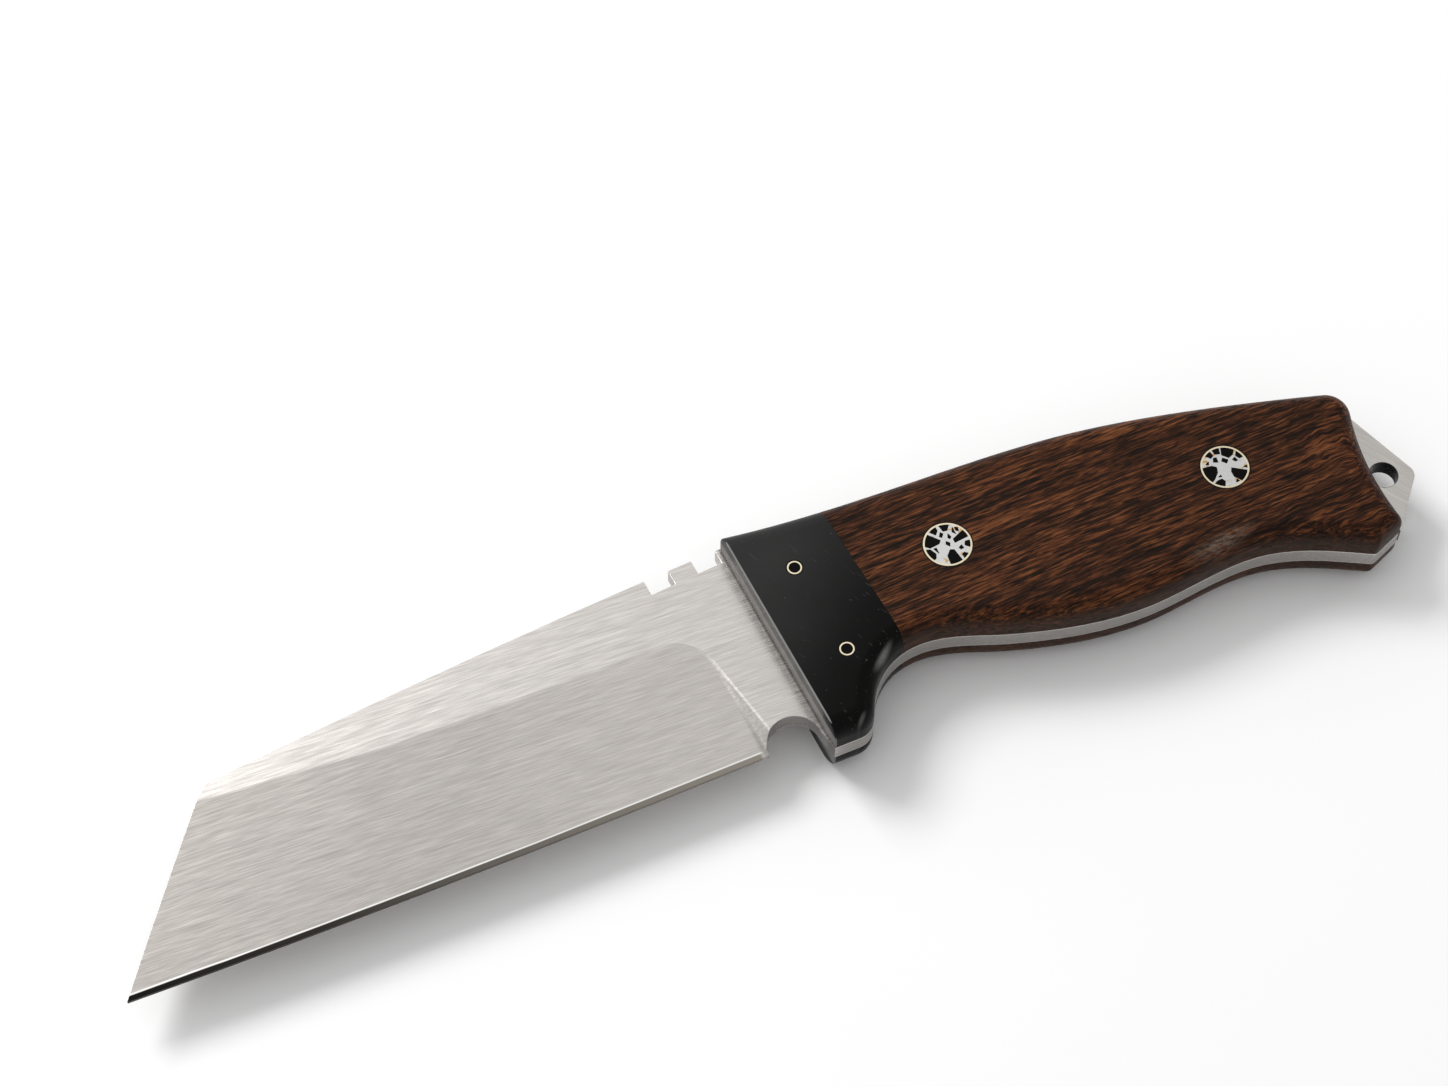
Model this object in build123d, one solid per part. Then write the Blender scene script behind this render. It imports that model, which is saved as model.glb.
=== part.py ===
from build123d import *
import math
import os

# A full-tang belt knife lying on its right side. One steel plate is both blade and tang. Two black
# bolsters and two wooden scales are glued and pinned to the tang, one of each above and one below.
#
# While the pieces are drawn, x runs from the front of the bolsters towards the pommel, so the blade has
# negative x. y runs from the knife's centre line towards the spine. z is the height above the flat
# that the knife rests on. Everything is moved at the end, so that the origin is under the middle of
# the whole knife. Sizes are in millimetres.

# Thicknesses
tang_thickness = 3.2
scale_thickness = 5.6

# Blade outline
blade_length = 113.5
point_drop = 16.1
front_corner_setback = 20.4
front_corner_height = 10.75
front_corner_radius = 8.0
front_bulge = 0.12
spine_corner_setback = 22.95
spine_corner_height = 12.95
spine_corner_radius = 1.2
spine_height = 19.7
spine_bulge = 0.68
edge_depth = 17.15
edge_lowest_from_point = 68.3
edge_sweep_radius = 2220.0

# Main bevel, from the grind line down to the shoulder of the cutting edge
grind_line_height = 6.95
grind_line_lowest_from_bolster = 30.0
grind_line_radius = 526.0
shoulder_width = 0.85
thickness_at_shoulder = 0.75
thickness_at_edge = 0.06
plunge_corner_from_bolster = 17.6
plunge_corner_height = -0.6
plunge_corner_radius = 7.9
plunge_lean = 12.6
plunge_run_per_depth = 2.2

# Rounded notch between the heel of the edge and the finger guard
choil_radius = 4.4
choil_from_bolster = 4.05
choil_drop = 16.7

# Two thumb notches in the spine
thumb_notch_width = 4.3
thumb_notch_depth = 2.45
thumb_notch_gap = 4.1
thumb_notch_from_bolster = 0.85
thumb_notch_count = 2

# Handle outline
bolster_front_lean = 3.3
guard_depth = 20.35
guard_corner_radius = 3.6
guard_back_from_bolster = 9.6
guard_back_drop = 16.6
guard_back_slope = 63.0
finger_groove_share = 0.209
finger_groove_depth = 9.05
belly_share = 0.345
belly_depth = 13.05
belly_slope = 18.5
palm_swell_share = 0.566
palm_swell_depth = 17.37
waist_share = 0.738
waist_depth = 16.1
handle_length = 101.2
butt_depth = 23.4
butt_from_end = 5.8
butt_slope = 29.0
butt_corner_drop = 21.1
butt_corner_radius = 1.0
rear_hollow_drop = 12.0
rear_hollow_depth = 0.4
rear_top_past_end = 3.4
rear_corner_height = 4.0
rear_corner_radius = 4.1
spine_shoulder_share = 0.296
spine_shoulder_height = 17.15
spine_middle_share = 0.573
spine_middle_height = 15.4
spine_rear_share = 0.79
spine_rear_height = 11.05

# Edge rounding of the bolsters and scales
upper_rounding = 3.3
lower_rounding = 4.3
bolster_front_rounding = 0.3

# Joint between bolster and scale
bolster_width = 17.0
bolster_back_lean = 5.4

# Pointed pommel of bare tang, with a hole for a lanyard
pommel_reach = 7.75
pommel_drop = 12.3
pommel_upper_past_end = 2.3
pommel_upper_height = 2.6
pommel_corner_radius = 2.0
lanyard_hole_radius = 2.38
lanyard_hole_past_end = 2.6
lanyard_hole_drop = 10.7

# Mosaic pins: a brass tube, a metal web and black resin in the web's openings
mosaic_pin_radius = 3.95
mosaic_tube_wall = 0.29
front_mosaic_share = 0.309
front_mosaic_height = 3.05
rear_mosaic_share = 0.776
rear_mosaic_height = -1.75
cell_corner_radius = 0.08
cell_growth = 0.06
web_pin_radius = 3.95
tube_reach = 4.3

# Openings of the two webs, each a list of corners as (degrees from the +x direction, distance from the
# pin's centre) in a pin of web_pin_radius, with which they grow. Each opening reaches cell_growth past
# the lines between its corners. A corner at tube_reach lies beyond the tube's bore, which trims the
# opening round.
front_web_openings = [
    [(24, 1.35), (23, tube_reach), (2, tube_reach), (-7, 1.25)],
    [(-26, 2.75), (-11, 2.9), (-10, tube_reach), (-32, tube_reach)],
    [(-42, 1.9), (-25, 2.2), (-37, 2.65), (-46, 2.3)],
    [(-61, 2.9), (-52, 3.0), (-48, tube_reach), (-70, tube_reach)],
    [(-115, 2.1), (-92, 1.05), (-67, 1.4), (-75.5, tube_reach), (-105, tube_reach)],
    [(176, 3.0), (200, 2.6), (210, 3.2), (209, tube_reach), (190, tube_reach), (172, tube_reach)],
    [(177, 2.4), (177, 1.95), (207, 2.2)],
    [(129, tube_reach), (124, 1.35), (153, 1.35), (171, 2.9), (160, tube_reach)],
    [(121, tube_reach), (97, tube_reach), (99, 2.95), (114, 2.5)],
    [(94, 2.45), (86, 2.05), (103, 1.5), (109, 1.9)],
    [(90, tube_reach), (61, tube_reach), (67, 2.55), (82, 2.5)],
    [(64, 1.95), (45, 1.56), (43, 1.1), (63, 1.2)],
    [(90, 0.6), (12, 0.46), (-66, 0.5), (160, 0.25)],
    [(52, 3.3), (48, 2.4), (31, 2.4), (42, 2.7)],
    [(46, 3.4), (38, 2.9), (30, 3.1), (38, 3.55)],
]
rear_web_openings = [
    [
        (163, tube_reach),
        (153, 2.1),
        (161, 1.35),
        (197, 1.65),
        (209, 2.9),
        (210, tube_reach),
        (187, tube_reach),
    ],
    [(216, tube_reach), (219, 3.0), (231, 2.35), (244, 2.7), (243, tube_reach), (230, tube_reach)],
    [(216, 2.3), (219, 1.74), (228, 1.94)],
    [(-32, 1.1), (-33, tube_reach), (-48, tube_reach), (-65, tube_reach), (-76, 2.3), (-66, 1.35)],
    [(-84, 3.3), (-75, 2.9), (-73, 3.4)],
    [(-22, 3.0), (-15, tube_reach), (-27, tube_reach)],
    [(37, tube_reach), (10, tube_reach), (10, 3.0), (25, 2.8)],
    [(23.5, 2.5), (7, 2.52), (7, 2.1), (23, 1.9)],
    [(73, tube_reach), (57, tube_reach), (42, tube_reach), (36, 2.7), (43, 1.9), (76, 2.25)],
    [(98, tube_reach), (79, tube_reach), (81, 2.53), (98, 2.78)],
    [(124, tube_reach), (104, tube_reach), (107, 2.72), (121, 2.69)],
    [(131, 1.98), (114, 2.4), (103, 2.16), (116, 1.34)],
    [(90, 1.15), (76, 1.7), (42, 1.49), (40, 0.78)],
    [(149, 3.1), (136, 2.76), (149, 2.6)],
]

# Small bolster pins: a brass tube with a black core
small_pin_radius = 1.2
small_tube_wall = 0.24
small_pin_from_bolster_back = 9.0
back_small_pin_height = 8.9
guard_small_pin_height = -7.7

# Heights
tang_bottom = scale_thickness
tang_top = tang_bottom + tang_thickness
middle = tang_bottom + tang_thickness / 2
top = tang_top + scale_thickness
half_tang = tang_thickness / 2
half_shoulder = thickness_at_shoulder / 2
half_edge = thickness_at_edge / 2

# Cuts are carried this far past the outline of the steel, and this far above and below its faces
past = 10.0
above = 0.5

# Edges within this distance of a plane count as lying on it
touch = 0.01


def front_x(y):
    """The front of the bolsters leans, so its x depends on the height y."""
    return -y * math.tan(math.radians(bolster_front_lean))


def joint_x(y):
    """The back of the bolsters, where the wood begins."""
    return bolster_width - y * math.tan(math.radians(bolster_back_lean))


def edge_y(x):
    """The cutting edge, a shallow arc written as a parabola."""
    return (x + blade_length - edge_lowest_from_point) ** 2 / (2 * edge_sweep_radius) - edge_depth


def shoulder_y(x):
    return edge_y(x) + shoulder_width


def grind_y(x):
    """The upper limit of the main bevel on the flat of the blade."""
    return (x + grind_line_lowest_from_bolster) ** 2 / (2 * grind_line_radius) + grind_line_height


def prism(lines, bottom, height):
    """A plate with the outline made of these lines, standing on the height bottom."""
    return Pos(0, 0, bottom) * extrude(make_face(Curve() + lines), amount=height, dir=(0, 0, 1))


def upright_edge_at(body, x, y):
    """The upright edge of a plate that stands nearest to the place x, y."""
    upright = body.edges().filter_by(Axis.Z)
    return upright.sort_by_distance((x, y, body.center().Z))[0]


# Corners of the outline
tip = (-blade_length, -point_drop)
front_corner = (front_corner_setback - blade_length, front_corner_height)
spine_corner = (spine_corner_setback - blade_length, spine_corner_height)
spine_at_bolster = (front_x(spine_height), spine_height)
choil_x = -choil_from_bolster
heel = (choil_x - choil_radius, edge_y(choil_x - choil_radius))
choil_top = (choil_x, choil_radius - choil_drop)
choil_back = (choil_x + choil_radius, -choil_drop)
guard_front = (front_x(-guard_depth), -guard_depth)
guard_back = (guard_back_from_bolster, -guard_back_drop)
guard_rise = guard_depth - guard_back_drop
guard_corner = (
    guard_back_from_bolster - guard_rise / math.tan(math.radians(guard_back_slope)),
    -guard_depth,
)
finger_groove = (handle_length * finger_groove_share, -finger_groove_depth)
belly = (handle_length * belly_share, -belly_depth)
palm_swell = (handle_length * palm_swell_share, -palm_swell_depth)
waist = (handle_length * waist_share, -waist_depth)
butt = (handle_length - butt_from_end, -butt_depth)
butt_corner = (handle_length, -butt_corner_drop)
rear_hollow = (handle_length - rear_hollow_depth, -rear_hollow_drop)
rear_top = (handle_length + rear_top_past_end, rear_corner_height)
pommel_point = (handle_length + pommel_reach, -pommel_drop)
pommel_upper = (handle_length + pommel_upper_past_end, pommel_upper_height)

belly_curve = Spline(
    guard_back,
    finger_groove,
    belly,
    palm_swell,
    waist,
    butt,
    tangents=[
        (math.cos(math.radians(guard_back_slope)), math.sin(math.radians(guard_back_slope))),
        (1, 0),
        (math.cos(math.radians(belly_slope)), -math.sin(math.radians(belly_slope))),
        (1, 0),
        (1, 0),
        (math.cos(math.radians(butt_slope)), -math.sin(math.radians(butt_slope))),
    ],
)
back_curve = Spline(
    spine_at_bolster,
    (handle_length * spine_shoulder_share, spine_shoulder_height),
    (handle_length * spine_middle_share, spine_middle_height),
    (handle_length * spine_rear_share, spine_rear_height),
    rear_top,
)


def bulging_arc(start, end, bulge):
    """An arc between two points that stands off its chord by bulge, to the left of the chord."""
    chord = math.dist(start, end)
    across = ((start[1] - end[1]) / chord, (end[0] - start[0]) / chord)
    crown = tuple((a + b) / 2 + bulge * c for a, b, c in zip(start, end, across))
    return ThreePointArc(start, crown, end)


def handle_plate(bottom, height):
    """The outline that the tang, the bolsters and the scales share."""
    plate = prism(
        [
            Line(guard_front, guard_corner),
            Line(guard_corner, guard_back),
            belly_curve,
            Line(butt, butt_corner),
            ThreePointArc(butt_corner, rear_hollow, rear_top),
            back_curve,
            Line(spine_at_bolster, guard_front),
        ],
        bottom,
        height,
    )
    for corner, radius in (
        (guard_corner, guard_corner_radius),
        (butt, butt_corner_radius),
        (butt_corner, butt_corner_radius),
        (rear_top, rear_corner_radius),
    ):
        plate = fillet(upright_edge_at(plate, *corner), radius)
    return plate


def arc_along(height_at, start, end):
    """The arc through a height function at its two ends and its middle."""
    middle_x = (start + end) / 2
    return ThreePointArc((start, height_at(start)), (middle_x, height_at(middle_x)), (end, height_at(end)))


def below_arc(height_at, start, end, z):
    """A level face at height z, reaching from an arc down past the edge of the blade."""
    low = -edge_depth - 2 * past
    face = make_face(
        Curve()
        + [
            arc_along(height_at, start, end),
            Line((end, height_at(end)), (end, low)),
            Line((end, low), (start, low)),
            Line((start, low), (start, height_at(start))),
        ]
    )
    return Pos(0, 0, z) * face


def main_bevel_y(z):
    """Where the main bevel lies at this height over the middle of the steel."""
    share = (z - half_shoulder) / (half_tang - half_shoulder)
    return lambda x: shoulder_y(x) + share * (grind_y(x) - shoulder_y(x))


def edge_bevel_y(z):
    """Where the bevel of the cutting edge lies at this height over the middle of the steel."""
    share = (z - half_edge) / (half_shoulder - half_edge)
    return lambda x: edge_y(x) + share * shoulder_width


def plunge_face(z):
    """The end of the main bevel at this height: a leaning line and a round upper corner."""
    radius = plunge_corner_radius - (half_tang - z) * plunge_run_per_depth
    centre = Vector(-plunge_corner_from_bolster, plunge_corner_height)
    lean = math.radians(plunge_lean)
    side = centre + Vector(math.cos(lean), math.sin(lean)) * radius
    crown = centre + Vector(0, radius)
    bend = centre + Vector(math.cos(lean / 2 + math.pi / 4), math.sin(lean / 2 + math.pi / 4)) * radius
    foot = side + Vector(math.sin(lean), -math.cos(lean)) * (edge_depth + past)
    far = -blade_length - 2 * past
    face = make_face(
        Curve()
        + [
            Line(foot, side),
            ThreePointArc(side, bend, crown),
            Line(crown, (far, crown.Y + 2 * past)),
            Line((far, crown.Y + 2 * past), (far, foot.Y)),
            Line((far, foot.Y), foot),
        ]
    )
    return Pos(0, 0, z) * face


# Steel: blade, tang and pommel in one plate
blade_plate = prism(
    [
        arc_along(edge_y, tip[0], heel[0]),
        ThreePointArc(heel, choil_top, choil_back),
        Line(choil_back, guard_front),
        Line(guard_front, (guard_front[0] + past / 2, 0)),
        Line((guard_front[0] + past / 2, 0), spine_at_bolster),
        bulging_arc(spine_at_bolster, spine_corner, -spine_bulge),
        Line(spine_corner, front_corner),
        bulging_arc(front_corner, (tip[0], edge_y(tip[0])), -front_bulge),
    ],
    tang_bottom,
    tang_thickness,
)


def cylinder(place, radius, bottom=0.0, height=top):
    """An upright round bar at a place in x and y."""
    return Pos(place[0], place[1], bottom + height / 2) * Cylinder(radius, height)


pommel_plate = prism(
    [
        Line(butt_corner, pommel_point),
        Line(pommel_point, pommel_upper),
        Line(pommel_upper, (butt[0], 0)),
        Line((butt[0], 0), butt_corner),
    ],
    tang_bottom,
    tang_thickness,
)
pommel_plate = fillet(upright_edge_at(pommel_plate, *pommel_point), pommel_corner_radius)
blade_plate = fillet(upright_edge_at(blade_plate, *spine_corner), spine_corner_radius)
blade_plate = fillet(upright_edge_at(blade_plate, *front_corner), front_corner_radius)

# The main bevel is cut only in front of the plunge. The bevel of the cutting edge runs out at the choil.
bevel_start = -blade_length - past
main_bevel = loft(
    [below_arc(main_bevel_y(z), bevel_start, past, z) for z in (0, half_tang + above)], ruled=True
)
plunge = loft([plunge_face(z) for z in (0, half_tang + above)], ruled=True)
edge_bevel = loft(
    [below_arc(edge_bevel_y(z), bevel_start, choil_x, z) for z in (half_edge, half_tang + above)],
    ruled=True,
)
bevel_cut = Pos(0, 0, middle) * (main_bevel & plunge + edge_bevel)
bevel_cuts = [bevel_cut, mirror(bevel_cut, about=Plane.XY.offset(middle))]

# Thumb notches, square to the spine
spine_slope = math.atan2(spine_height - spine_corner_height, blade_length - spine_corner_setback)
along_spine = Pos(*spine_at_bolster, middle) * Rot(0, 0, math.degrees(spine_slope))
thumb_notch_pitch = thumb_notch_width + thumb_notch_gap
thumb_notches = [
    along_spine
    * Pos(-thumb_notch_from_bolster - thumb_notch_width / 2 - i * thumb_notch_pitch, 0, 0)
    * Box(thumb_notch_width, 2 * thumb_notch_depth, 2 * tang_thickness)
    for i in range(thumb_notch_count)
]

# Places of the pins
front_mosaic = (handle_length * front_mosaic_share, front_mosaic_height)
rear_mosaic = (handle_length * rear_mosaic_share, rear_mosaic_height)
back_small_pin = (joint_x(back_small_pin_height) - small_pin_from_bolster_back, back_small_pin_height)
guard_small_pin = (joint_x(guard_small_pin_height) - small_pin_from_bolster_back, guard_small_pin_height)
lanyard_hole = (handle_length + lanyard_hole_past_end, -lanyard_hole_drop)
pin_holes = [
    cylinder(front_mosaic, mosaic_pin_radius),
    cylinder(rear_mosaic, mosaic_pin_radius),
    cylinder(back_small_pin, small_pin_radius),
    cylinder(guard_small_pin, small_pin_radius),
]

blade_and_tang = blade_plate + handle_plate(tang_bottom, tang_thickness) + pommel_plate
for cut in bevel_cuts + thumb_notches + pin_holes:
    blade_and_tang = blade_and_tang - cut
blade_and_tang = blade_and_tang - cylinder(lanyard_hole, lanyard_hole_radius)


def rounded_slab(rounding):
    """A bolster and scale in one: a plate on the tang with its rim rounded all but at the front."""
    slab = handle_plate(tang_top, scale_thickness)
    rim = slab.edges().filter_by_position(Axis.Z, top - touch, top + touch)
    slab = fillet(rim.sort_by_distance((front_x(0), 0, top))[1:], rounding)
    for hole in pin_holes:
        slab = slab - hole
    return slab


def broken_front(bolster):
    """Rounds the edges round the bolster's front face slightly, but not the one on the tang."""
    front = bolster.faces().sort_by_distance((front_x(0), 0, (tang_top + top) / 2))[0]
    sharp = front.edges().filter_by(lambda edge: edge.center().Z > tang_top + touch)
    return fillet(sharp, bolster_front_rounding)


def other_side(piece):
    """A piece made on the upper face of the tang, moved to the lower face."""
    return mirror(piece, about=Plane.XY.offset(middle))


joint_lean = math.radians(bolster_back_lean)
joint = Plane(origin=(joint_x(0), 0, middle), z_dir=(math.cos(joint_lean), math.sin(joint_lean), 0))
upper_slab = rounded_slab(upper_rounding)
lower_slab = rounded_slab(lower_rounding)
upper_bolster = broken_front(split(upper_slab, bisect_by=joint, keep=Keep.BOTTOM))
lower_bolster = broken_front(split(lower_slab, bisect_by=joint, keep=Keep.BOTTOM))
upper_scale = split(upper_slab, bisect_by=joint, keep=Keep.TOP)
lower_scale = split(lower_slab, bisect_by=joint, keep=Keep.TOP)


def tube(place, radius, wall):
    """A pin's tube, from one face of the handle to the other."""
    return cylinder(place, radius) - cylinder(place, radius - wall)


def openings(place, corner_lists):
    """The openings of a mosaic web as upright bars, trimmed by the bore of the pin's tube."""
    growth = mosaic_pin_radius / web_pin_radius
    outlines = Sketch()
    for corners in corner_lists:
        points = [Vector(growth * reach, 0).rotate(Axis.Z, turn) for turn, reach in corners]
        outline = offset(Polygon(*points, align=None), cell_growth, kind=Kind.INTERSECTION)
        outlines += fillet(outline.vertices(), cell_corner_radius)
    outlines = outlines & Circle(mosaic_pin_radius - mosaic_tube_wall)
    return Pos(place[0], place[1], 0) * extrude(outlines, amount=top, dir=(0, 0, 1))


nodes = {
    "blade_and_tang": blade_and_tang,
    "upper_bolster": upper_bolster,
    "lower_bolster": other_side(lower_bolster),
    "upper_scale": upper_scale,
    "lower_scale": other_side(lower_scale),
}
for name, place, corner_lists in (
    ("front_mosaic", front_mosaic, front_web_openings),
    ("rear_mosaic", rear_mosaic, rear_web_openings),
):
    resin = openings(place, corner_lists)
    nodes[name + "_tube"] = tube(place, mosaic_pin_radius, mosaic_tube_wall)
    nodes[name + "_web"] = cylinder(place, mosaic_pin_radius - mosaic_tube_wall) - resin
    nodes[name + "_resin"] = resin
for name, place in (("back_pin", back_small_pin), ("guard_pin", guard_small_pin)):
    nodes[name + "_tube"] = tube(place, small_pin_radius, small_tube_wall)
    nodes[name + "_core"] = cylinder(place, small_pin_radius - small_tube_wall)

# The origin goes under the middle of the whole knife
centre = Compound(list(nodes.values())).bounding_box().center()
os.makedirs("parts", exist_ok=True)
for name, piece in nodes.items():
    export_step(Pos(-centre.X, -centre.Y, 0) * piece, f"parts/{name}.step")
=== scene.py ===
import math

import bpy
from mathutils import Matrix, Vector


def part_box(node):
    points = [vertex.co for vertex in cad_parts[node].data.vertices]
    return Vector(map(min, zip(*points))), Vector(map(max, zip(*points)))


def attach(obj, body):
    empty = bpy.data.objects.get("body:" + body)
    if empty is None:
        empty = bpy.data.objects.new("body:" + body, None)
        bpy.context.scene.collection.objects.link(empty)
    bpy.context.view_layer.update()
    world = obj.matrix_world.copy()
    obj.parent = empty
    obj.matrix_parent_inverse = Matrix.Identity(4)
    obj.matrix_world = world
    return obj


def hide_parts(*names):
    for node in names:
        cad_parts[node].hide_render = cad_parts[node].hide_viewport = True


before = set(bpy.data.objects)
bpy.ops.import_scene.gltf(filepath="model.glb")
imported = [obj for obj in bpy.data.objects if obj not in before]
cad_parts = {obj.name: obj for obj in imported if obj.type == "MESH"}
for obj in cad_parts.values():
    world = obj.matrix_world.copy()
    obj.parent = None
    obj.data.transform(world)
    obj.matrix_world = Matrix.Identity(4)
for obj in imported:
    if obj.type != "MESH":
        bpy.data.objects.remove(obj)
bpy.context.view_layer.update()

# A full-tang belt knife lying on a pale floor. x runs from the point towards the pommel, y towards
# the spine, and z up from the floor, with the middle of the knife over the origin. Names that end
# in _mm, and every place and size inside a finish, are in millimetres. The rest is in metres.
MM = 0.001

# Levels of the steel, counted up and down from the middle of its thickness
steel_low, steel_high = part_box("blade_and_tang")
middle_mm = (steel_low.z + steel_high.z) / 2 / MM
half_tang_mm = (steel_high.z - steel_low.z) / 2 / MM
half_shoulder_mm = 0.375
half_edge_mm = 0.03

# The leaning front of the bolsters passes through this place. For each millimetre towards the
# spine it comes forward by the lean.
bolster_front_x_mm = 2.418
bolster_front_y_mm = 1.798
bolster_front_lean = 0.0577

lanyard_hole_mm = (106.2184, -8.902)
lanyard_hole_radius_mm = 2.38


# ---------------------------------------------------------------- camera and light

camera_data = bpy.data.cameras.new("camera")
camera_data.lens = 83.83
camera_data.sensor_width = 36.0
camera = bpy.data.objects.new("camera", camera_data)
camera.location = (-0.10604, -0.22714, 0.47981)
camera.rotation_euler = (math.radians(30), 0, math.radians(-23.5))
bpy.context.scene.collection.objects.link(camera)
bpy.context.scene.camera = camera
bpy.context.scene.view_settings.view_transform = "Standard"


def soft_light(name, place, aim, width, height, power):
    """A rectangular studio light at a place, facing the point it is aimed at."""
    data = bpy.data.lights.new(name, "AREA")
    data.shape = "RECTANGLE"
    data.size = width
    data.size_y = height
    data.energy = power
    light = bpy.data.objects.new(name, data)
    light.location = place
    towards = Vector(aim) - Vector(place)
    light.rotation_euler = towards.to_track_quat("-Z", "Y").to_euler()
    bpy.context.scene.collection.objects.link(light)


soft_light(
    "window_box", place=(-0.30, 0.66, 0.70), aim=(0, 0, 0), width=0.45, height=0.35, power=6.0
)


# ---------------------------------------------------------------- how finishes are written

class Value:
    """A socket of a finish. Sums written on it in Python add Math nodes."""

    def __init__(self, finish, socket):
        self.finish = finish
        self.socket = socket

    def maths(self, operation, *terms):
        return self.finish.node(
            "ShaderNodeMath", {"operation": operation}, dict(enumerate(terms))
        )

    def __add__(self, other):
        return self.maths("ADD", self, other)

    __radd__ = __add__

    def __sub__(self, other):
        return self.maths("SUBTRACT", self, other)

    def __rsub__(self, other):
        return self.maths("SUBTRACT", other, self)

    def __mul__(self, other):
        return self.maths("MULTIPLY", self, other)

    __rmul__ = __mul__

    def __truediv__(self, other):
        return self.maths("DIVIDE", self, other)


class Nodes:
    """A node tree that is written from top to bottom."""

    def __init__(self, owner):
        owner.use_nodes = True
        self.tree = owner.node_tree
        self.tree.nodes.clear()

    def node(self, kind, settings=None, sockets=None, output=0):
        """Adds a node, with its settings first and then the values or links of its sockets."""
        node = self.tree.nodes.new(kind)
        for name, value in (settings or {}).items():
            if name == "stops":
                ramp = node.color_ramp
                while len(ramp.elements) < len(value):
                    ramp.elements.new(0.5)
                for stop, (position, colour) in zip(ramp.elements, value):
                    stop.position = position
                    stop.color = (*colour, 1)
            else:
                setattr(node, name, value)
        for name, value in (sockets or {}).items():
            if isinstance(value, Value):
                self.tree.links.new(value.socket, node.inputs[name])
            else:
                node.inputs[name].default_value = value
        return None if output is None else Value(self, node.outputs[output])


class Finish(Nodes):
    """A procedural finish. Its patterns are fixed to the knife and measured in millimetres."""

    def __init__(self, name):
        self.material = bpy.data.materials.new(name)
        super().__init__(self.material)
        place = self.node("ShaderNodeTexCoord", output="Object")
        self.place = self.stretch(place, (1 / MM, 1 / MM, 1 / MM))
        self.x, self.y, self.z = (
            self.node("ShaderNodeSeparateXYZ", None, {"Vector": self.place}, axis)
            for axis in "XYZ"
        )

    def stretch(self, place, scale, turn=0.0, shift=(0, 0, 0)):
        """A place turned about z, then stretched along its axes and shifted."""
        if turn:
            place = self.node(
                "ShaderNodeMapping", {"vector_type": "POINT"},
                {"Vector": place, "Rotation": (0, 0, math.radians(turn))},
            )
        return self.node(
            "ShaderNodeMapping", {"vector_type": "POINT"},
            {"Vector": place, "Scale": scale, "Location": shift},
        )

    def vector(self, operation, first, second):
        """A Vector Math node that gives a vector."""
        return self.node(
            "ShaderNodeVectorMath", {"operation": operation}, {0: first, 1: second}
        )

    def moved_across(self, reach):
        """The place moved along y, so that a pattern of lines along x becomes wavy."""
        return self.vector("ADD", self.place, self.node("ShaderNodeCombineXYZ", None, {"Y": reach}))

    def noise(
        self, per_mm, detail=2.0, roughness=0.5, turn=0.0, place=None, shift=(0, 0, 0),
        distortion=0.0,
    ):
        """Noise with so many grains per millimetre along x, y and z."""
        return self.node(
            "ShaderNodeTexNoise", None,
            {
                "Vector": self.stretch(place or self.place, per_mm, turn, shift),
                "Scale": 1.0,
                "Detail": detail,
                "Roughness": roughness,
                "Distortion": distortion,
            },
        )

    def between(self, value, start, end):
        """0 on the start's side and 1 on the end's side, with a smooth step between them."""
        step = self.node(
            "ShaderNodeMapRange", {"interpolation_type": "SMOOTHSTEP"},
            {"Value": value, "From Min": min(start, end), "From Max": max(start, end)},
        )
        return 1 - step if start > end else step

    def mix(self, mask, below, above, blend="MIX"):
        """A colour that goes from below to above as the mask goes from 0 to 1."""
        colours = {}
        for name, colour in ((6, below), (7, above)):
            colours[name] = colour if isinstance(colour, Value) else (*colour, 1)
        return self.node(
            "ShaderNodeMix", {"data_type": "RGBA", "blend_type": blend}, {0: mask, **colours}, 2
        )

    def tinted(self, colour, tint, mask=1.0):
        """A colour multiplied by a tint where the mask is 1."""
        return self.mix(mask, colour, tint, "MULTIPLY")

    def ramp(self, value, *stops):
        return self.node("ShaderNodeValToRGB", {"stops": stops}, {"Fac": value})

    def away_from(self, centre):
        """The distance from an upright line through a centre."""
        across = self.vector("MULTIPLY", self.place, (1, 1, 0))
        return self.node(
            "ShaderNodeVectorMath", {"operation": "DISTANCE"},
            {0: across, 1: (centre[0], centre[1], 0)}, "Value",
        )

    def patch(self, centre, half_length, half_width, turn):
        """1 at a centre, fading to 0 at a turned ellipse round it, seen from above."""
        from_centre = self.vector("SUBTRACT", self.place, (*centre, 0))
        shrunk = self.stretch(from_centre, (1 / half_length, 1 / half_width, 0), -turn)
        reach = self.node("ShaderNodeVectorMath", {"operation": "LENGTH"}, {0: shrunk}, "Value")
        return self.between(reach, 1, 0)

    def from_middle(self):
        """The height over or under the middle of the steel."""
        return self.node("ShaderNodeMath", {"operation": "ABSOLUTE"}, {0: self.z - middle_mm})

    def behind_front(self):
        """The distance behind the front of the bolsters, less than 0 on the blade."""
        lean = (self.y - bolster_front_y_mm) * bolster_front_lean
        return self.x - bolster_front_x_mm + lean

    def bump(self, height, depth_mm, strength):
        return self.node(
            "ShaderNodeBump", None,
            {"Height": height, "Distance": depth_mm * MM, "Strength": strength},
        )

    def shade(self, **sockets):
        """The shader, given its sockets by name with underscores for spaces."""
        sockets = {name.replace("_", " "): value for name, value in sockets.items()}
        shader = self.node("ShaderNodeBsdfPrincipled", None, sockets)
        self.node("ShaderNodeOutputMaterial", None, {"Surface": shader}, None)
        return self.material


# ---------------------------------------------------------------- finishes of the knife

def pin_place(pin):
    """The centre and the radius of an upright pin, seen from above, in millimetres."""
    low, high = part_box(pin + "_tube")
    return (low + high) / 2 / MM, (high.x - low.x) / 2 / MM


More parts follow.
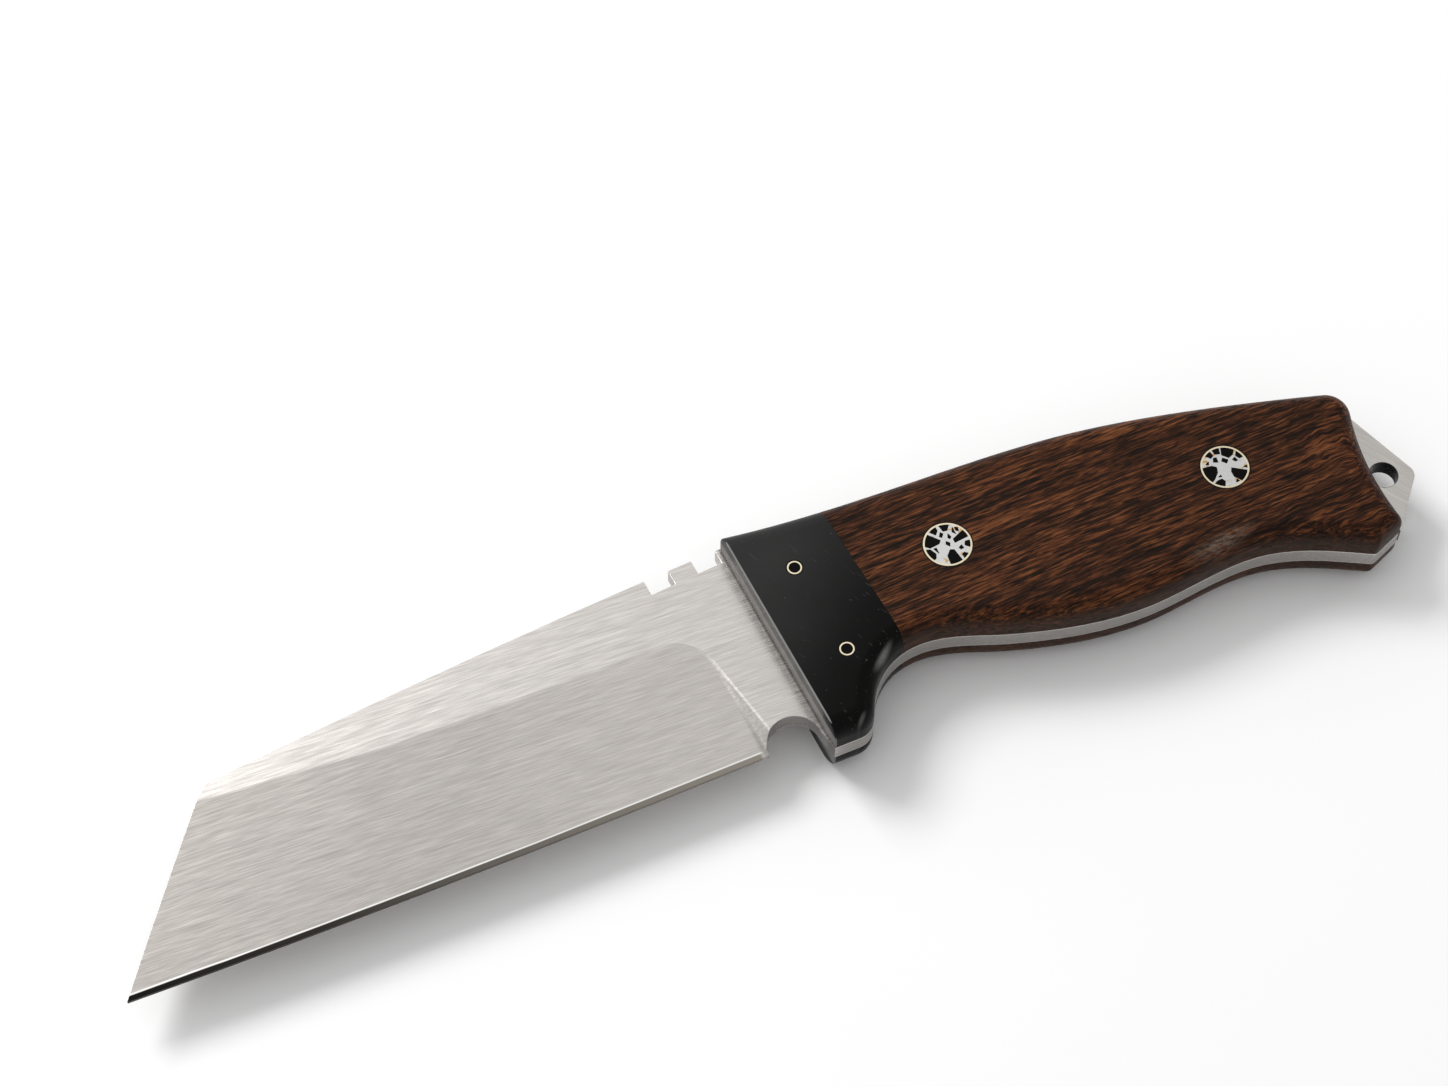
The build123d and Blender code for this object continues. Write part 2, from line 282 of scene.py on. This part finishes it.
mosaic_pins = [pin_place("front_mosaic"), pin_place("rear_mosaic")]
tube_pins = [pin_place("back_pin"), pin_place("guard_pin")]


def glue_lines(f, colour):
    """A thin dark line of glue round each pin."""
    for centre, radius in mosaic_pins + tube_pins:
        line = f.between(f.away_from(centre), radius + 0.30, radius + 0.16)
        colour = f.mix(line * 0.93, colour, (0.002, 0.002, 0.002))
    return colour


def satin_steel():
    """Satin steel with short brush lines, diagonal ones on the pommel, and painted shade on the
    edge.
    """
    f = Finish("satin_steel")
    from_middle = f.from_middle()
    on_blade = f.between(f.x, -6.5, -7.5)
    on_pommel = f.between(f.x, 101, 103)

    # Brush lines
    wavy = f.moved_across((f.noise((0.05, 0.1, 0.1)) - 0.5) * 0.7)
    long = f.noise((0.05, 1.6, 1.6), turn=2, place=wavy)
    short = f.noise((0.14, 2.8, 2.8), roughness=0.55, turn=2, place=wavy, shift=(3, 7, 1))
    fine = f.noise((0.22, 4.4, 4.4), roughness=0.6, turn=3, place=wavy, shift=(11, 2, 5))
    brushed = long * 0.12 + short * 0.38 + fine * 0.50
    diagonal = (f.noise((0.1, 2.6, 2.6), 3, 0.6, turn=58) - 0.5) * 0.6 + 0.5
    lines = brushed * (1 - on_pommel) + diagonal * on_pommel
    clouds = f.noise((0.05, 0.12, 0.3), 3)
    tone = (lines - 0.5) * 1.5 + (clouds - 0.5) * 0.15 + 0.5
    colour = f.ramp(tone, (0.0, (0.49, 0.464, 0.438)), (1.0, (0.81, 0.777, 0.745)))

    # Painted shade: the bevel is darker than the flats, and both darken towards the point
    # The bevel's darker tone is partly its finer grind and partly painted shade
    on_bevel = f.between(from_middle, half_tang_mm - 0.004, half_tang_mm - 0.02) * on_blade
    forward = f.between(f.x, -5, -65)
    flat_painted_shade = f.mix(forward, (1.0, 0.995, 0.99), (0.965, 0.96, 0.955))
    bevel_grind_and_painted_shade = f.mix(forward, (0.92, 0.91, 0.90), (0.77, 0.76, 0.75))
    colour = f.tinted(colour, f.mix(on_bevel, flat_painted_shade, bevel_grind_and_painted_shade))

    # Walls of the tang and of the thumb notches, darkened with painted shade
    by_notches = f.between(f.x, -25, -24) * f.between(f.y, 10, 11)
    walls = f.between(from_middle, half_tang_mm - 0.08, half_tang_mm - 0.25)
    walls = walls * (1 - on_blade + on_blade * by_notches)
    colour = f.tinted(colour, (0.62, 0.62, 0.62), walls)
    # The wall of the lanyard hole is painted almost black as shade
    hole_wall_painted_shade = f.between(
        f.away_from(lanyard_hole_mm), lanyard_hole_radius_mm + 0.08, lanyard_hole_radius_mm + 0.04
    )
    colour = f.mix(hole_wall_painted_shade, colour, (0.012, 0.012, 0.012))

    # A painted contact shadow on the steel in front of the bolsters
    behind_front = f.behind_front()
    painted_contact_shadow = f.between(behind_front, -0.42, -0.20) * f.between(behind_front, 0.05, -0.05)
    colour = f.mix(painted_contact_shadow * 0.5, colour, (0.02, 0.02, 0.02))

    # The edge bevel, with painted shade from near black at the point to grey at the heel
    by_edge = f.between(f.y, -12.9, -13.1) * on_blade
    sharpened = f.between(from_middle, half_shoulder_mm + 0.003, half_shoulder_mm - 0.005)
    shoulder = f.between(from_middle, half_shoulder_mm + 0.014, half_shoulder_mm + 0.008)
    from_point = (f.x + 112) / 110
    edge_painted_shade = f.ramp(
        from_point,
        (0.0, (0.010, 0.009, 0.008)), (0.30, (0.035, 0.031, 0.027)), (1.0, (0.33, 0.30, 0.26)),
    )
    # A painted highlight line at the shoulder of the edge bevel
    colour = f.mix(shoulder * by_edge, colour, (0.95, 0.94, 0.92))
    colour = f.mix(sharpened * by_edge, colour, edge_painted_shade)

    return f.shade(
        Base_Color=colour,
        Metallic=1.0,
        Roughness=f.between(lines, 0.2, 0.8) * 0.12 + 0.20,
        Normal=f.bump(lines * (1 - walls), 0.02, 0.10),
    )


def dark_wood():
    """Oiled dark wood with short dark and orange streaks along the grain, and curls at the rear."""
    f = Finish("dark_wood")
    butt = f.away_from((98.5, -19.0))
    rear_top = f.away_from((104.0, 4.0))

    # Grain
    curl = f.between(butt, 26, 10) + f.between(rear_top, 16, 6)
    slant = f.noise((0.02, 0.05, 0.05), shift=(2, 5, 8)) - 0.5
    knots = (f.noise((0.2, 0.3, 0.3), shift=(9, 4, 2)) - 0.5) * curl
    grain = {"place": f.moved_across((slant + knots) * 2.0), "distortion": 0.1}
    bands = f.noise((0.02, 0.22, 0.22), 3, 0.6, turn=-2, **grain)
    streaks = f.noise((0.17, 2.1, 2.1), 3, 0.62, turn=-1, shift=(5, 3, 2), **grain)
    fibres = f.noise((0.35, 4.2, 4.2), roughness=0.6, turn=-2, shift=(1, 9, 4), **grain)
    pores = f.between(f.noise((0.24, 3.0, 3.0), turn=-2, shift=(7, 1, 3), **grain), 0.45, 0.36)
    tone = (bands - 0.5) * 0.8 + (streaks - 0.5) * 1.7 + (fibres - 0.5) * 1.3 + 0.5
    colour = f.ramp(
        tone,
        (0.16, (0.0085, 0.0030, 0.0010)),
        (0.38, (0.0250, 0.0080, 0.0026)),
        (0.54, (0.0540, 0.0170, 0.0058)),
        (0.72, (0.1050, 0.0330, 0.0105)),
        (0.95, (0.175, 0.062, 0.021)),
    )
    colour = f.mix(pores * 0.85, colour, (0.0022, 0.0010, 0.0007))

    # Painted light: greyer walls by the tang, a broken sheen at the belly, and shade towards it
    painted_wall_sheen = f.between(f.from_middle(), 6.3, 4.6)
    colour = f.mix(painted_wall_sheen * 0.55, colour, (0.030, 0.0165, 0.0105))
    painted_sheen = f.patch((73.8, -12.3), 8.5, 2.0, 8)
    glints = f.between(f.noise((0.8, 2.4, 2.4), 3, 0.7, shift=(3, 1, 6)), 0.30, 0.75)
    colour = f.mix(painted_sheen * glints, colour, (0.19, 0.155, 0.125))
    colour = f.tinted(colour, (0.50, 0.42, 0.34), f.between(f.y, 2, -20) * 0.35)
    colour = glue_lines(f, colour)

    return f.shade(
        Base_Color=colour,
        Roughness=0.36 + pores * 0.2 + streaks * 0.12,
        Normal=f.bump(streaks * 0.5 + fibres * 0.3 - pores * 0.5, 0.06, 0.45),
        Specular_IOR_Level=0.11,
    )


def black_horn():
    """Satin black horn with fine scratches and pale specks of dust."""
    f = Finish("black_horn")
    # Painted shade: the horn gets darker towards the guard, where it is also made glossier
    towards_guard = f.between(f.y - f.x * 0.9, 10, -22)
    haze = f.noise((0.09, 0.09, 0.09), 3)
    colour = f.mix(towards_guard, (0.0240, 0.0242, 0.0236), (0.0012, 0.0013, 0.0010))
    colour = f.tinted(colour, f.mix(haze, (0.6, 0.6, 0.6), (1.4, 1.4, 1.4)), 0.6)

    # Scratches, hairs and specks
    scratches = f.noise((0.3, 3.0, 3.0), roughness=0.6, turn=62)
    crossing = f.noise((3.0, 0.25, 0.25), roughness=0.6, turn=20, shift=(2, 6, 3))
    rubbed = f.between(f.noise((0.12, 0.12, 0.12), shift=(8, 3, 1)), 0.45, 0.65)
    specks = f.between(f.noise((1.8, 1.8, 1.8), 1, shift=(4, 1, 7)), 0.74, 0.79)
    hairs = f.between(f.noise((0.4, 4.0, 4.0), 1, turn=62, shift=(3, 3, 9)), 0.68, 0.76)
    colour = f.mix(specks * 0.5 + hairs * rubbed * 0.4, colour, (0.10, 0.10, 0.095))

    # A painted sheen on the rounding behind the guard
    painted_sheen = f.patch((16.0, -8.9), 3.8, 0.75, 38) + f.patch((8.4, -17.6), 1.8, 0.5, 40) * 0.5
    colour = f.mix(painted_sheen * (0.3 + scratches * 0.5), colour, (0.30, 0.30, 0.29))
    colour = glue_lines(f, colour)

    # Painted on the polished front faces: a rim highlight and a reflection of the steel low down
    height = f.from_middle() - half_tang_mm
    on_front = f.between(f.behind_front(), 0.22, 0.16)
    painted_steel_reflection = f.between(height, 3.4, 2.4) * f.between(height, 0.15, 0.30) * on_front
    ripples = f.noise((0.4, 0.5, 2.4), shift=(6, 2, 8))
    rim = f.between(height, 5.15, 5.30) * on_front
    colour = f.mix(painted_steel_reflection * (0.45 + ripples), colour, (0.16, 0.155, 0.148))
    colour = f.mix(rim, colour, (0.22, 0.22, 0.215))

    return f.shade(
        Base_Color=colour,
        Roughness=0.36 - towards_guard * 0.10 + scratches * 0.1 + rubbed * 0.06,
        Normal=f.bump(scratches * 0.6 + crossing * 0.4, 0.012, 0.35),
        Specular_IOR_Level=0.09,
    )


def pin_metal(name, dark, light, spots=None):
    """Sanded pin metal with fine scratches. A web may have coloured spots near its rim."""
    f = Finish(name)
    colour = f.mix(f.noise((1.6, 1.6, 1.6), 3), dark, light)
    if spots:
        near_rim = 0
        for centre, radius in mosaic_pins:
            from_centre = f.away_from(centre)
            in_pin = f.between(from_centre, radius * 1.2, radius * 1.15)
            near_rim = near_rim + in_pin * f.between(from_centre, radius * 0.62, radius * 0.72)
        patches = f.between(f.noise((1.1, 1.1, 0.2), shift=(5, 1, 2)), 0.52, 0.60)
        colour = f.mix(near_rim * patches, colour, spots)
    scratches = f.noise((0.9, 9.0, 9.0), turn=30)
    return f.shade(
        Base_Color=colour,
        Metallic=1.0,
        Roughness=0.28 + scratches * 0.2,
        Normal=f.bump(scratches, 0.012, 0.4),
    )


def black_resin():
    """Cast black resin, sanded flush and slightly uneven."""
    f = Finish("black_resin")
    grain = f.noise((1.5, 1.5, 1.5))
    return f.shade(
        Base_Color=f.mix(grain, (0.0012, 0.0012, 0.0011), (0.0036, 0.0034, 0.0030)),
        Roughness=0.42 + grain * 0.2,
        Normal=f.bump(grain, 0.02, 0.3),
        Specular_IOR_Level=0.05,
    )


def pale_floor():
    """A plain pale studio floor, very slightly uneven in tone."""
    f = Finish("pale_floor")
    grain = f.noise((0.02, 0.02, 0.02))
    return f.shade(
        Base_Color=f.mix(grain, (0.95, 0.95, 0.95), (0.97, 0.97, 0.97)), Roughness=0.8
    )


def studio_sky():
    """Even grey light with one wide bright patch high behind the knife, a little to the left."""
    world = bpy.data.worlds.new("studio")
    n = Nodes(world)
    patch = Vector((-0.35, 0.60, 0.72)).normalized()
    towards_patch = n.node(
        "ShaderNodeVectorMath", {"operation": "DOT_PRODUCT"},
        {0: n.node("ShaderNodeTexCoord", output="Generated"), 1: patch}, "Value",
    )
    glow = n.node(
        "ShaderNodeMapRange", {"interpolation_type": "SMOOTHSTEP"},
        {"Value": towards_patch, "From Min": 0.55, "From Max": 1.0},
    )
    sky = n.node("ShaderNodeBackground", None, {"Strength": 0.72 + glow * 0.5})
    n.node("ShaderNodeOutputWorld", None, {"Surface": sky}, None)
    bpy.context.scene.world = world


studio_sky()
steel = satin_steel()
wood = dark_wood()
horn = black_horn()
brass = pin_metal("pin_brass", (0.78, 0.67, 0.46), (0.95, 0.86, 0.64))
silver = pin_metal(
    "web_silver", (0.62, 0.62, 0.61), (0.75, 0.745, 0.74), spots=(0.62, 0.36, 0.12)
)
resin = black_resin()


# ---------------------------------------------------------------- pieces


def alone(piece):
    """Selects one piece and nothing else."""
    bpy.ops.object.select_all(action="DESELECT")
    piece.select_set(True)
    bpy.context.view_layer.objects.active = piece


def modifier(piece, kind, **settings):
    """Adds a modifier, sets it and applies it."""
    made = piece.modifiers.new(kind.lower(), kind)
    for name, value in settings.items():
        setattr(made, name, value)
    bpy.ops.object.modifier_apply(modifier=made.name)


def crease(piece, levels_mm):
    """Keeps the edges sharp that run level at these heights from the middle of the steel."""
    same_level_mm = 0.003
    for edge in piece.data.edges:
        heights = [
            abs(piece.data.vertices[end].co.z / MM - middle_mm) for end in edge.vertices
        ]
        for level in levels_mm:
            if all(abs(height - level) < same_level_mm for height in heights):
                edge.use_edge_sharp = True


def finished_copy(node, name, material, edge_mm, creases_mm=()):
    """A copy of a CAD node with its corners welded and its sharp edges broken."""
    piece = bpy.data.objects.new(name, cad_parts[node].data.copy())
    bpy.context.scene.collection.objects.link(piece)
    alone(piece)
    bpy.ops.object.mode_set(mode="EDIT")
    bpy.ops.mesh.select_all(action="SELECT")
    bpy.ops.mesh.remove_doubles(threshold=0.001 * MM)
    bpy.ops.mesh.dissolve_limited(angle_limit=math.radians(0.2))
    bpy.ops.object.mode_set(mode="OBJECT")
    modifier(
        piece, "BEVEL", width=edge_mm * MM, segments=2,
        limit_method="ANGLE", angle_limit=math.radians(30),
    )
    bpy.ops.object.shade_smooth_by_angle(angle=math.radians(35))
    crease(piece, creases_mm)
    modifier(piece, "WEIGHTED_NORMAL", keep_sharp=True, weight=50)
    piece.data.materials.clear()
    piece.data.materials.append(material)
    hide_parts(node)
    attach(piece, "root")


finished_copy(
    "blade_and_tang", "blade", steel, edge_mm=0.06,
    creases_mm=(half_tang_mm, half_shoulder_mm, half_edge_mm),
)
for node, name, material in (
    ("upper_bolster", "front_bolster_top", horn),
    ("lower_bolster", "front_bolster_bottom", horn),
    ("upper_scale", "scale_top", wood),
    ("lower_scale", "scale_bottom", wood),
):
    finished_copy(node, name, material, edge_mm=0.08)

# The pins stay as the CAD made them, and only get their finishes
pin_finishes = {"tube": brass, "web": silver, "resin": resin, "core": resin}
for node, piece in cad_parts.items():
    material = pin_finishes.get(node.split("_")[-1])
    if material:
        piece.data.materials.clear()
        piece.data.materials.append(material)

bpy.ops.object.select_all(action="DESELECT")
bpy.ops.mesh.primitive_plane_add(size=6.0, location=(0, 0, 0))
floor = bpy.context.active_object
floor.name = "floor"
floor.data.materials.append(pale_floor())
